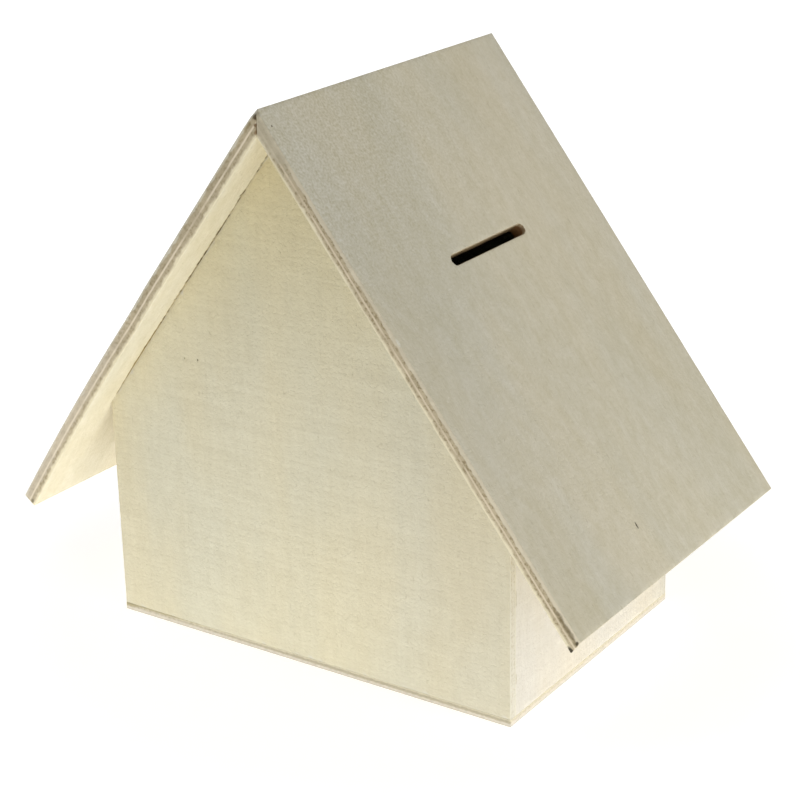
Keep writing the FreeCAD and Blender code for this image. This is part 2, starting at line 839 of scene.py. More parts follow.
def new_material(name: str) -> tuple[Material, NodeSheet]:
    """Make an empty material.

    Args:
        name: Name of the material.

    Returns:
        The material and the sheet of its nodes.
    """
    material = bpy.data.materials.new(name)
    material.use_nodes = True
    return material, NodeSheet(material.node_tree)


# Values of the noise between which an effect sets in
FLECK_ONSET = (0.62, 0.80)
TINGE_ONSET = (0.32, 0.68)
LINE_ONSET = (0.30, 0.55)
PORE_ONSET = (0.45, 0.66)
DUST_ONSET = (0.45, 0.85)

# Shares of a board's thickness over which its edge takes over, and of a stain's reach over which it fades
EDGE_ONSET = (0.004, 0.02)
STAIN_FADE = (0.35, 1.0)

# Colours that cooler and warmer patches of wood are multiplied by
COOL = (0.96, 1.0, 1.07, 1.0)
WARM = (1.03, 1.0, 0.93, 1.0)

# Weights of a board's three directions in the distance from its frosted corner
FROST_WEIGHTS = (1.0, 0.75, 40.0)

# Shares that the cross lines and the grit have in a face's relief
CROSS_RELIEF = 0.6
GRIT_RELIEF = 0.6

# How far a ragged ply wanders, tears and breaks up, as shares of the board's thickness
WANDER = 0.06
TEAR = 0.2
BREAKING = 0.3

# Parts of the middle line's half width between which it fades, and what is left where it is broken
LINE_FADE = (0.5, 1.5)
LINE_LEFT = 0.35

# Shares of the thickness over which the outer and the inner veneer end, and how far the plies' tone swings
OUTER_FADE = 0.1
INNER_FADE = 0.2
PLY_TONE = 0.7

# Seeds of the stopper's dust and of its moulded texture
DUST_SEED = 3.0
TEXTURE_SEED = 5.0


@cache
def veneer_group() -> NodeTree:
    """Build the sanded face of a plywood board: tone, streaks, fibres, grit, flecks and cross lines.

    Returns:
        The node group.
    """
    strengths = ("Mottle", "Streaks", "Cross lines", "Grit", "Flecks", "Tinge", "Frost")
    sheet = GroupSheet(
        "sanded veneer",
        {
            Kind.VECTOR: ("Board", "Frost corner"),
            Kind.COLOUR: ("Pale", "Deep", "Fleck"),
            Kind.VALUE: ("Seed", "Frost reach", *strengths),
        },
        {Kind.COLOUR: ("Color",), Kind.VALUE: ("Height",)},
    )
    given = sheet.given
    board, seed = given["Board"], given["Seed"]
    mottle = sheet.noise(board, (14.0, 36.0, 0.0), seed, detail=3.0)
    patch = sheet.noise(board, (190.0, 330.0, 0.0), seed)
    streak = sheet.noise(board, (26.0, 480.0, 0.0), seed, detail=3.0, rough=0.6)
    fibre = sheet.noise(board, (210.0, 1700.0, 0.0), seed, rough=0.6)
    cross = sheet.noise(board, (750.0, 22.0, 0.0), seed)
    grit = sheet.noise(board, (900.0, 900.0, 0.0), seed)
    frost = sheet.noise(board, (1500.0, 1500.0, 0.0), seed, detail=1.0)
    tinge = sheet.noise(board, (13.0, 48.0, 0.0), seed)
    fleck = sheet.ramp(sheet.noise(board, (420.0, 1500.0, 0.0), seed, detail=1.0), *FLECK_ONSET)

    off_face = sheet.vector("MULTIPLY", board, FROST_WEIGHTS)
    off_corner = sheet.length("DISTANCE", off_face, given["Frost corner"])
    frosted = sheet.times(sheet.rest(sheet.ramp(off_corner, 0.0, given["Frost reach"])), given["Frost"])
    swings = (
        (mottle, given["Mottle"]),
        (patch, given["Mottle"]),
        (streak, given["Streaks"]),
        (fibre, given["Streaks"]),
        (cross, given["Cross lines"]),
        (grit, given["Grit"]),
        (frost, frosted),
    )
    tone = NOISE_MIDDLE
    for noise, strength in swings:
        tone = sheet.plus(tone, sheet.swing(noise, strength))
    wood = sheet.blend(sheet.maths("MAXIMUM", tone, 0.0), given["Deep"], given["Pale"])
    cast = sheet.blend(sheet.ramp(tinge, *TINGE_ONSET), COOL, WARM)
    wood = sheet.blend(given["Tinge"], wood, cast, "MULTIPLY")
    wood = sheet.blend(sheet.times(fleck, given["Flecks"]), wood, given["Fleck"])
    sheet.feed(sheet.results["Color"], wood)

    height = sheet.plus(fibre, sheet.times(cross, CROSS_RELIEF))
    height = sheet.plus(height, sheet.times(grit, GRIT_RELIEF))
    sheet.feed(sheet.results["Height"], sheet.maths("SUBTRACT", height, fleck))
    return sheet.tree


@cache
def cast_group() -> NodeTree:
    """Build a change of tone that comes in along one of a board's directions, mostly painted light and
    shade.

    Returns:
        The node group.
    """
    sheet = GroupSheet(
        "tone cast",
        {
            Kind.VECTOR: ("Board", "Axis"),
            Kind.COLOUR: ("Color", "Tone"),
            Kind.VALUE: ("Start", "End"),
        },
        {Kind.COLOUR: ("Color",)},
    )
    given = sheet.given
    along = sheet.length("DOT_PRODUCT", given["Board"], given["Axis"])
    share = sheet.ramp(along, given["Start"], given["End"])
    sheet.feed(sheet.results["Color"], sheet.blend(share, given["Color"], given["Tone"], "MULTIPLY"))
    return sheet.tree


@cache
def ply_edge_group() -> NodeTree:
    """Build the sawn edge of a plywood board: two dark plies, a pale middle line and thin faces.

    Returns:
        The node group, whose mask is one on an edge and zero on a face.
    """
    plies = ("Line place", "Line width", "Outer veneer", "Inner veneer")
    sheet = GroupSheet(
        "ply edge",
        {
            Kind.VECTOR: ("Board",),
            Kind.COLOUR: ("Band", "Pore", "Line", "Veneer", "Inner"),
            Kind.VALUE: ("Thickness", "Seed", "Pores", "Ragged", *plies),
        },
        {Kind.COLOUR: ("Color",), Kind.VALUE: ("Mask", "Height")},
    )
    given = sheet.given
    board, seed, ragged = given["Board"], given["Seed"], given["Ragged"]
    share = sheet.maths("DIVIDE", sheet.split(board)["Z"], given["Thickness"])
    rest = sheet.rest(share)

    wander = sheet.swing(sheet.noise(board, (240.0, 240.0, 0.0), seed), sheet.times(ragged, WANDER))
    tear = sheet.swing(sheet.noise(board, (700.0, 700.0, 300.0), seed), sheet.times(ragged, TEAR))
    patchy = sheet.swing(sheet.noise(board, (330.0, 330.0, 0.0), seed), sheet.times(ragged, BREAKING))
    torn = sheet.plus(patchy, tear)

    off_line = sheet.maths("SUBTRACT", sheet.plus(share, wander), given["Line place"])
    fade = [sheet.times(given["Line width"], part) for part in LINE_FADE]
    on_line = sheet.rest(sheet.ramp(sheet.maths("ABSOLUTE", off_line), *fade))
    whole = sheet.ramp(sheet.noise(board, (130.0, 130.0, 0.0), seed), *LINE_ONSET)
    line = sheet.times(on_line, sheet.maths("MULTIPLY_ADD", whole, 1.0 - LINE_LEFT, LINE_LEFT))

    outer_end = sheet.plus(given["Outer veneer"], OUTER_FADE)
    outer = sheet.ramp(sheet.plus(share, torn), given["Outer veneer"], outer_end)
    inner_end = sheet.plus(given["Inner veneer"], INNER_FADE)
    inner = sheet.ramp(sheet.plus(rest, torn), given["Inner veneer"], inner_end)
    pits = sheet.noise(board, (1200.0, 1200.0, 1300.0), seed, rough=0.6)
    pores = sheet.times(sheet.ramp(pits, *PORE_ONSET), given["Pores"])
    tone = sheet.swing(sheet.noise(board, (150.0, 150.0, 300.0), seed), PLY_TONE)

    band = sheet.blend(sheet.maths("ADD", pores, tone, clamp=True), given["Band"], given["Pore"])
    lined = sheet.blend(line, band, given["Line"])
    faced = sheet.blend(outer, given["Veneer"], lined)
    sheet.feed(sheet.results["Color"], sheet.blend(inner, given["Inner"], faced))
    sheet.feed(sheet.results["Mask"], sheet.ramp(sheet.maths("MINIMUM", share, rest), *EDGE_ONSET))
    sheet.feed(sheet.results["Height"], sheet.rest(sheet.times(pores, sheet.rest(line))))
    return sheet.tree


@cache
def stain_and_shade_group() -> NodeTree:
    """Build a blotchy patch round one place of a board, such as a scorched corner, a soiled one or painted
    shadow in a joint.

    Returns:
        The node group, whose mask is strongest in the middle of the patch.
    """
    sheet = GroupSheet(
        "stain patch",
        {
            Kind.VECTOR: ("Board", "Centre", "Share per metre"),
            Kind.VALUE: ("Seed", "Strength", "Broken"),
        },
        {Kind.VALUE: ("Mask",)},
    )
    given = sheet.given
    offset = sheet.vector("SUBTRACT", given["Board"], given["Centre"])
    reach = sheet.length("LENGTH", sheet.vector("MULTIPLY", offset, given["Share per metre"]))
    blotch = sheet.noise(given["Board"], (900.0, 900.0, 900.0), given["Seed"])
    edge = sheet.plus(reach, sheet.swing(blotch, given["Broken"]))
    mask = sheet.times(sheet.rest(sheet.ramp(edge, *STAIN_FADE)), given["Strength"])
    sheet.feed(sheet.results["Mask"], mask)
    return sheet.tree


@dataclass(frozen=True)
class Cast:
    """A change of tone that comes in along one of a board's directions, mostly painted light and shade.

    Attributes:
        tone: What the wood's colour is multiplied by where the change is full.
        axis: Direction that it comes in along.
        start: Distance at which it starts.
        end: Distance at which it is full.
    """

    tone: Colour
    axis: Triple
    start: float
    end: float


@dataclass(frozen=True)
class PlywoodFinish:
    """Raw sanded plywood, with its faces, its sawn edges, its marks and its painted light and shade.

    Attributes:
        pale: Lightest wood of the face.
        deep: Darkest wood of the face.
        fleck: Colour of the short flecks in the face.
        band: Colour of the plies in the edge.
        pore: Colour of the pores in those plies.
        line: Colour of the thin ply in the middle.
        veneer: Colour of the outer veneer, seen from the edge.
        inner: Colour of the inner veneer, seen from the edge.
        mottle: Strength of the patches of tone.
        streaks: Strength of the streaks along the grain.
        cross_lines: Strength of the fine lines across the grain.
        grit: Strength of the fine speckle.
        flecks: Strength of the flecks.
        tinge: Strength of the warmer and cooler patches.
        frost: Strength of the extra speckle round one corner of the outer face.
        frost_corner: Place of that corner along the grain, across it and below the face.
        frost_reach: How far from it that speckle goes.
        casts: Changes of tone over the board, most of them painted light and shade.
        pores: Strength of the pores in the edge.
        line_place: Place of the middle line, as a share of the thickness.
        line_width: Half width of the middle line, as a share of the thickness.
        outer_veneer: Outer veneer, as a share of the thickness.
        inner_veneer: Inner veneer, as a share of the thickness.
        ragged: How torn the plies' edges are.
        roughness: Roughness of the wood.
        gloss: Specular level of the wood.
        relief: Depth of the grain.
    """

    pale: Colour
    deep: Colour
    fleck: Colour
    band: Colour
    pore: Colour
    line: Colour
    veneer: Colour
    inner: Colour
    mottle: float = 0.5
    streaks: float = 0.35
    cross_lines: float = 0.62
    grit: float = 0.3
    flecks: float = 0.22
    tinge: float = 0.5
    frost: float = 0.0
    frost_corner: Triple = (0.0, 0.0, 0.0)
    frost_reach: float = 1.0
    casts: Sequence[Cast] = ()
    pores: float = 0.8
    line_place: float = 0.5
    line_width: float = 0.05
    outer_veneer: float = 0.09
    inner_veneer: float = 0.10
    ragged: float = 1.0
    roughness: float = 0.68
    gloss: float = 0.3
    relief: float = 0.06 * MM

    def material(self, name: str, ply: float, seed: float, stains_and_shade: Sequence[StainAndShade] = ()) -> Material:
        """Build the finish of one board.

        Args:
            name: Name of the material.
            ply: Thickness of the board.
            seed: Value that sets this board's grain apart.
            stains_and_shade: Patches of another colour on the board, marks and painted shade alike.

        Returns:
            The material.
        """
        material, sheet = new_material(name)
        board = sheet.add("Attribute", attribute_name=BOARD_ATTRIBUTE).outputs["Vector"]
        face = sheet.place(veneer_group(), self, board=board, seed=seed)
        edge = sheet.place(ply_edge_group(), self, board=board, seed=seed, thickness=ply)
        colour = face["Color"]
        for cast in self.casts:
            colour = sheet.place(cast_group(), cast, board=board, color=colour)["Color"]
        colour = sheet.blend(edge["Mask"], colour, edge["Color"])
        # Lay on the marks and the painted shade
        for stain_or_shade in stains_and_shade:
            mask = sheet.place(stain_and_shade_group(), stain_or_shade, board=board, seed=seed)["Mask"]
            colour = sheet.blend(mask, colour, stain_or_shade.colour)
        height = sheet.plus(face["Height"], edge["Height"])
        sheet.surface(colour, self.roughness, self.gloss, height, self.relief)
        return material


@dataclass(frozen=True)
class MouldedPlasticFinish:
    """Soft black plastic with a fine moulded texture.

    Attributes:
        colour: Colour of the plastic.
        dusty: Colour where it is rubbed or dusty.
        haze: Dusty patches per metre.
        grain: Bumps of the moulded texture per metre.
        roughness: Roughness of the plastic.
        uneven: How far the roughness swings.
        gloss: Specular level of the plastic.
        relief: Depth of the moulded texture.
    """

    colour: Colour
    dusty: Colour
    haze: float = 220.0
    grain: float = 3600.0
    roughness: float = 0.48
    uneven: float = 0.25
    gloss: float = 0.5
    relief: float = 0.03 * MM

    def material(self, name: str) -> Material:
        """Build the finish.

        Args:
            name: Name of the material.

        Returns:
            The material.
        """
        material, sheet = new_material(name)
        place = sheet.add("TexCoord").outputs["Object"]
        haze = sheet.noise(place, (self.haze,) * 3, DUST_SEED, detail=3.0)
        grain = sheet.noise(place, (self.grain,) * 3, TEXTURE_SEED, detail=1.0)
        colour = sheet.blend(sheet.ramp(haze, *DUST_ONSET), self.colour, self.dusty)
        rough = sheet.plus(self.roughness, sheet.swing(haze, self.uneven))
        sheet.surface(colour, rough, self.gloss, grain, self.relief)
        return material


GABLE_WOOD = PlywoodFinish(
    pale="E0DAC0",
    deep="C8C0A4",
    fleck="B5A985",
    band="CDC8B8",
    pore="BBB29B",
    line="D4CEBE",
    veneer="D3CEBC",
    inner="D3CEBC",
    casts=(
        # Painted shade: darker and yellower towards the apex, under the roof, and a little darker towards
        # the right edge
        Cast((0.97, 0.94, 0.83, 1.0), ALONG, 60.0 * MM, 140.0 * MM),
        Cast((0.94, 0.94, 0.97, 1.0), ACROSS, 0.0, 60.0 * MM),
    ),
)
# Greyer copy of the gable wood: painted highlight for the brightly lit side walls, and darker towards the
# rear end
SIDE_WOOD = replace(
    GABLE_WOOD,
    pale="DED8CA",
    deep="C7BFAF",
    fleck="B9AE96",
    casts=(Cast((0.95, 0.95, 0.93, 1.0), ACROSS, 15.0 * MM, 37.0 * MM),),
)
BASE_WOOD = replace(
    GABLE_WOOD,
    band="D2C9B5",
    pore="BEB49B",
    line="D5CDBD",
    inner="D8D0B4",
    line_place=0.22,
    line_width=0.24,
    casts=(),
)
ROOF_WOOD = PlywoodFinish(
    pale="E1DBC9",
    deep="C5BD9F",
    fleck="B2A88A",
    band="BCAE90",
    pore="8A7B58",
    line="E2D4BA",
    veneer="D5CFBB",
    inner="E6DBBB",
    mottle=0.7,
    cross_lines=0.1,
    grit=0.55,
    flecks=0.4,
    tinge=0.4,
    frost=2.2,
    frost_corner=(0.0, -37.0 * MM, 0.0),
    frost_reach=88.0 * MM,
    casts=(
        # Painted light: the inner face and the inner half of each sawn edge paler, as if lit from the table
        # below; the board also lighter from the front edge towards the rear
        Cast((1.15, 1.14, 1.12, 1.0), INWARD, 1.9 * MM, 2.1 * MM),
        Cast((1.09, 1.08, 1.06, 1.0), ACROSS, -45.0 * MM, 10.0 * MM),
    ),
    line_width=0.06,
    outer_veneer=0.10,
    inner_veneer=0.07,
    pores=0.55,
    ragged=1.2,
    relief=0.04 * MM,
)
SLOTTED_WOOD = replace(
    ROOF_WOOD,
    line="D6C8AD",
    veneer="D4CAB1",
    inner="E0D6B8",
    line_place=0.56,
    outer_veneer=0.21,
    inner_veneer=0.08,
    pores=0.8,
    ragged=1.0,
)
SCORCHED_WOOD = replace(
    ROOF_WOOD,
    band="A48C64",
    pore="6C563A",
    line="B4A07C",
    veneer="C2B290",
    inner="7C6644",
    outer_veneer=0.22,
    ragged=1.6,
)
BLACK_PLASTIC = MouldedPlasticFinish(colour="1C1C1E", dusty="2C2B2A")


# Sub-assemblies


@dataclass
class Walls:
    """The two gables and the two side walls between them.

    Attributes:
        sizes: Sizes of the house.
        gable_finish: Plywood that the gables are cut from.
        side_finish: Plywood of the side walls, a greyer copy of the gables' that paints the washed-out look
            of their bright light.
        gable_seed: Number that the gables' grain starts from.
        side_seed: Number that the side walls' grain starts from.
        easing: Rounding of the gables' outer arrises.
        side_easing: Rounding of the side walls' outer arrises.
        cell: Spacing of the lines that divide a board.
        rubbed: Wear of the arrises.
        torn: Wear of the gables' left sloping edges.
        torn_rise: How far up a point faces to be torn, as a share of the roof's own.
        marks: Specks in the front gable, darkened with painted shade.
        joint_shadows: Painted shadow in the gap along the joint of a side wall with the front gable.
    """

    sizes: HouseSizes
    gable_finish: PlywoodFinish = GABLE_WOOD
    side_finish: PlywoodFinish = SIDE_WOOD
    gable_seed: float = 3.0
    side_seed: float = 7.0
    easing: float = 0.2 * MM
    side_easing: float = 0.2 * MM / 3
    cell: float = 1.5 * MM
    rubbed: Wear = Wear("rubbed", 0.08 * MM, 2.5 * MM)
    torn: Wear = Wear("torn", 0.06 * MM, 1.0 * MM, 0.42, 4.0)
    torn_rise: float = 0.6
    marks: Sequence[Mark] = (
        Mark(76.0, -34.35, 0.2, 0.12, 1.3, "A59E78"),
        Mark(76.3, -30.2, 0.26, 0.15, 1.0, "756F4E"),
    )
    # Painted gap shadow, in dashes, along the joint of each side wall with the front gable
    joint_shadows: Sequence[StainAndShade] = (
        StainAndShade((43.0, -37.5, 0.0), (2.2, 0.4, 0.6), "B1A688", 0.8),
        StainAndShade((33.0, -37.5, 0.0), (3.0, 0.4, 0.6), "B1A688", 0.8),
        StainAndShade((12.0, -37.5, 0.0), (2.4, 0.4, 0.6), "B1A688", 0.8),
    )

    def build(self) -> None:
        """Build and dress all four boards."""
        for end in End:
            self.gable(end)
        for side in Side:
            self.side_wall(side)

    def gable(self, end: End) -> None:
        """Round a gable's outer arrises, saw it to the roof's slopes, wear it and dress it.

        Args:
            end: Gable end to build.
        """
        sizes = self.sizes
        board = sizes.gable_frame(end)
        node = f"{end.name.lower()}_gable"
        width = 2 * sizes.half_width
        height = sizes.ridge_inner - sizes.base_top
        middle = board.place(sizes.base_top + height / 2, 0.0, sizes.gable_ply / 2)
        work = Workpiece.block(f"{node}_board", middle, (width, sizes.gable_ply, height))
        work.round_over(lambda edge: board.outer_edge(edge) and not self._at_foot(edge), self.easing)
        for side in Side:
            self._saw_to_roof(work, side)
        marks = self.marks if end is End.FRONT else ()
        work.prick(board, marks)
        foot = board.place(sizes.base_top, -sizes.half_width, 0.0)
        work.score(foot, width * X_AXIS, self.cell)
        work.score(foot, height * Z_AXIS, self.cell)
        work.wear(self.rubbed, board.arris)
        work.wear(self.torn, self._left_slope)
        work.map_board(board)
        # Painted shade darkens each pit
        pit_shade = [mark.pit_shade() for mark in marks]
        seed = self.gable_seed + end.value
        work.dress(self.gable_finish.material(f"{node} wood", sizes.gable_ply, seed, pit_shade))
        work.hand_over(node, Body.HOUSE, Slot.WALL)

    def side_wall(self, side: Side) -> None:
        """Bevel a side wall to the roof and dress it.

        Args:
            side: Side of the house to build.
        """
        sizes = self.sizes
        board = sizes.wall_frame(side)
        node = f"{side.name.lower()}_side_wall"
        length = 2 * (sizes.half_depth - sizes.gable_ply)
        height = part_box(node)[1].z - sizes.base_top
        middle = board.place(sizes.base_top + height / 2, 0.0, sizes.wall_ply / 2)
        work = Workpiece.block(f"{node}_board", middle, (sizes.wall_ply, length, height))
        work.round_over(board.outer_edge, self.side_easing)
        self._saw_to_roof(work, side)
        foot = board.place(sizes.base_top, -length / 2, 0.0)
        work.score(foot, length * Y_AXIS, self.cell)
        work.score(foot, height * Z_AXIS, self.cell)
        work.map_board(board)
        seed = self.side_seed + side.value
        work.dress(self.side_finish.material(f"{node} wood", sizes.wall_ply, seed, self.joint_shadows))
        work.hand_over(node, Body.HOUSE, Slot.WALL)

    def _saw_to_roof(self, work: Workpiece, side: Side) -> None:
        """Saw a board off under one of the roof's slopes."""
        slope = self.sizes.roof_frame(side)
        work.saw(slope.place(0.0, 0.0, self.sizes.roof_ply), slope.outward)

    def _at_foot(self, edge: BMEdge) -> bool:
        """Tell whether an edge lies along the foot of a wall, on the base."""
        return all(point.co.z < self.sizes.base_top + TOUCHING for point in edge.verts)

    def _left_slope(self, point: MeshVertex) -> float:
        """Give a weight of one to a point of a gable's left sloping edge and of zero to others."""
        rise = math.cos(self.sizes.pitch) * self.torn_rise
        return float(point.normal.z > rise and point.co.x < 0.0)


@dataclass
class Base:
    """The base plate, with its emptying hole and the rebate for the stopper's flange.

    Attributes:
        sizes: Sizes of the house.
        finish: Plywood that the base is cut from.
        seed: Number that its grain starts from.
        hole_radius: Radius of the emptying hole.
        rebate_radius: Radius of the rebate underneath.
        rebate_depth: Depth of the rebate.
        easing: Rounding of the arrises.
        cell: Spacing of the lines that divide the board.
        sides: Number of sides of the hole.
        rubbed: Wear of the arrises.
        rubbed_rise: How far up or down a point faces to be rubbed.
        stains_and_shade: Painted shadow in the joint with the front gable, and painted shade that darkens
            the foot of the front and right edges.
    """

    sizes: HouseSizes
    finish: PlywoodFinish = BASE_WOOD
    seed: float = 12.0
    hole_radius: float = 15.0 * MM
    rebate_radius: float = 17.3 * MM
    rebate_depth: float = 1.0 * MM
    easing: float = 0.1 * MM
    cell: float = 2.0 * MM
    sides: int = 128
    rubbed: Wear = Wear("rubbed", 0.06 * MM, 2.0 * MM)
    rubbed_rise: float = 0.2
    stains_and_shade: Sequence[StainAndShade] = (
        # Painted shadow of the joint with the front gable
        StainAndShade((-52.0, -40.0, 1.95), (22.0, 0.6, 0.6), "B0A580", 0.75),
        StainAndShade((25.0, -40.0, 1.25), (105.0, 0.6, 0.55), "AFA68C", 0.8),
        StainAndShade((-59.0, -40.0, 1.7), (4.0, 0.9, 1.0), "ADA27E", 0.85),
        # Painted shade that darkens the lower strip of the front and right edges
        StainAndShade((0.0, -40.0, 0.0), (200.0, 0.8, 0.9), "BAB2A2", 0.8),
        StainAndShade((60.0, 0.0, 0.0), (0.8, 200.0, 0.9), "BFB9AE", 0.8),
    )

    def build(self) -> None:
        """Bore the base plate, ease it and dress it."""
        sizes = self.sizes
        board = BoardFrame(Vector(), X_AXIS, Y_AXIS, -Z_AXIS)
        width, depth, ply = 2 * sizes.half_width, 2 * sizes.half_depth, sizes.base_top
        work = Workpiece.block("base_board", board.place(0.0, 0.0, ply / 2), (width, depth, ply))
        work.carve(Workpiece.disc("hole", self.hole_radius, -OVERRUN, ply + OVERRUN, self.sides))
        work.carve(Workpiece.disc("rebate", self.rebate_radius, -OVERRUN, self.rebate_depth, self.sides))
        work.ease(self.easing)
        corner = board.place(-sizes.half_width, -sizes.half_depth, 0.0)
        work.score(corner, width * X_AXIS, self.cell)
        work.score(corner, depth * Y_AXIS, self.cell)
        work.wear(self.rubbed, self._rim)
        work.map_board(board)
        work.dress(self.finish.material("base wood", ply, self.seed, self.stains_and_shade))
        work.hand_over("base_plate", Body.HOUSE, Slot.BASE)

    def _rim(self, point: MeshVertex) -> float:
        """Give a weight of one to a point of the base's outer arrises and of zero to others."""
        rim = max(abs(point.co.x) - self.sizes.half_width, abs(point.co.y) - self.sizes.half_depth)
        return float(rim > -self.easing and abs(point.normal.z) > self.rubbed_rise)


# Painted shadow in the open joint with the gable and in the open mitre at the ridge corner, with a brown
# seam there, a paler front edge towards the eave and a dark spot at the eave corner of the left board
LEFT_STAINS_AND_SHADE = (
    StainAndShade((116.0, -50.5, 1.0), (55.0, 0.8, 2.2), "E0D4BF", 0.45),
    # Painted shadow of the open joint with the gable, partly dotted
    StainAndShade((52.0, -40.2, 4.0), (60.0, 0.7, 0.6), "A58E54", 0.6),
    StainAndShade((86.0, -40.2, 4.0), (21.0, 0.7, 0.6), "8A7438", 0.85),
    StainAndShade((44.0, -40.2, 4.38), (40.0, 0.75, 0.6), "524312", 0.95, 2.8),
    # Painted shadow and a brown seam in the open mitre at the ridge corner
    StainAndShade((1.6, -50.5, 0.9), (1.1, 1.2, 0.9), "4A3A1E", 0.9),
    StainAndShade((3.2, -50.5, 2.2), (0.8, 0.8, 0.7), "6B5028", 0.9),
    StainAndShade((4.5, -50.5, 3.3), (0.8, 0.8, 0.7), "7A5A30", 0.8),
    StainAndShade((4.6, -50.5, 0.8), (1.4, 0.8, 0.6), "8A774C", 0.6),
    StainAndShade((138.6, -50.5, 2.9), (0.8, 0.8, 0.7), "6F6852", 0.8),
)

# Smeared ridge corner, dark eave corner and pale nicks of the right board
RIGHT_STAINS = (
    StainAndShade((7.0, -50.5, 1.8), (12.0, 1.0, 2.6), "BDB49B", 0.8),
    StainAndShade((1.0, -50.5, 0.5), (1.5, 1.0, 1.2), "7E7357", 0.5),
    StainAndShade((135.0, -50.5, 1.3), (6.5, 0.8, 0.9), "6E6142", 0.75),
    StainAndShade((139.0, -50.5, 0.9), (0.7, 0.8, 0.8), "4A4128", 0.95),
    StainAndShade((139.3, -50.5, 3.5), (1.0, 0.9, 0.8), "2A2410", 0.95),
    StainAndShade((61.5, -50.4, 0.0), (1.6, 0.6, 0.5), "E4E0CE", 0.9),
    StainAndShade((78.3, -46.1, 0.0), (0.45, 0.6, 0.3), "DAD3BE", 0.8),
    StainAndShade((77.7, -45.3, 0.0), (0.45, 0.6, 0.3), "DAD3BE", 0.8),
)

# Brown far end of the slot
SLOT_STAINS = (StainAndShade((50.0, 16.0, 2.4), (5.0, 2.4, 3.4), "7A5028", 0.8),)


@dataclass(frozen=True)
class RoofBoard:
    """What sets one of the roof's boards apart from the other.

    Attributes:
        finish: Plywood that it is cut from.
        stains_and_shade: Marks and painted shadow on it.
        chip: How far its front apex corner breaks along the ridge, down the slope and down the mitre.
        marks: Pits in its outer face, darkened with painted shade.
    """

    finish: PlywoodFinish
    stains_and_shade: Sequence[StainAndShade]
    chip: Triple
    marks: Sequence[Mark] = ()


ROOF_BOARDS = {
    Side.LEFT: RoofBoard(
        finish=ROOF_WOOD,
        stains_and_shade=LEFT_STAINS_AND_SHADE,
        chip=(1.0 * MM, 3.4 * MM, 2.0 * MM),
    ),
    Side.RIGHT: RoofBoard(
        finish=SLOTTED_WOOD,
        stains_and_shade=RIGHT_STAINS,
        chip=(1.0 * MM, 1.2 * MM, 1.5 * MM),
        marks=(
            Mark(126.0, -9.1, 0.26, 0.2, 2.7, "3E3820"),
            Mark(4.9, -48.7, 0.2, 0.12, 1.0, "6A634C"),
        ),
    ),
}


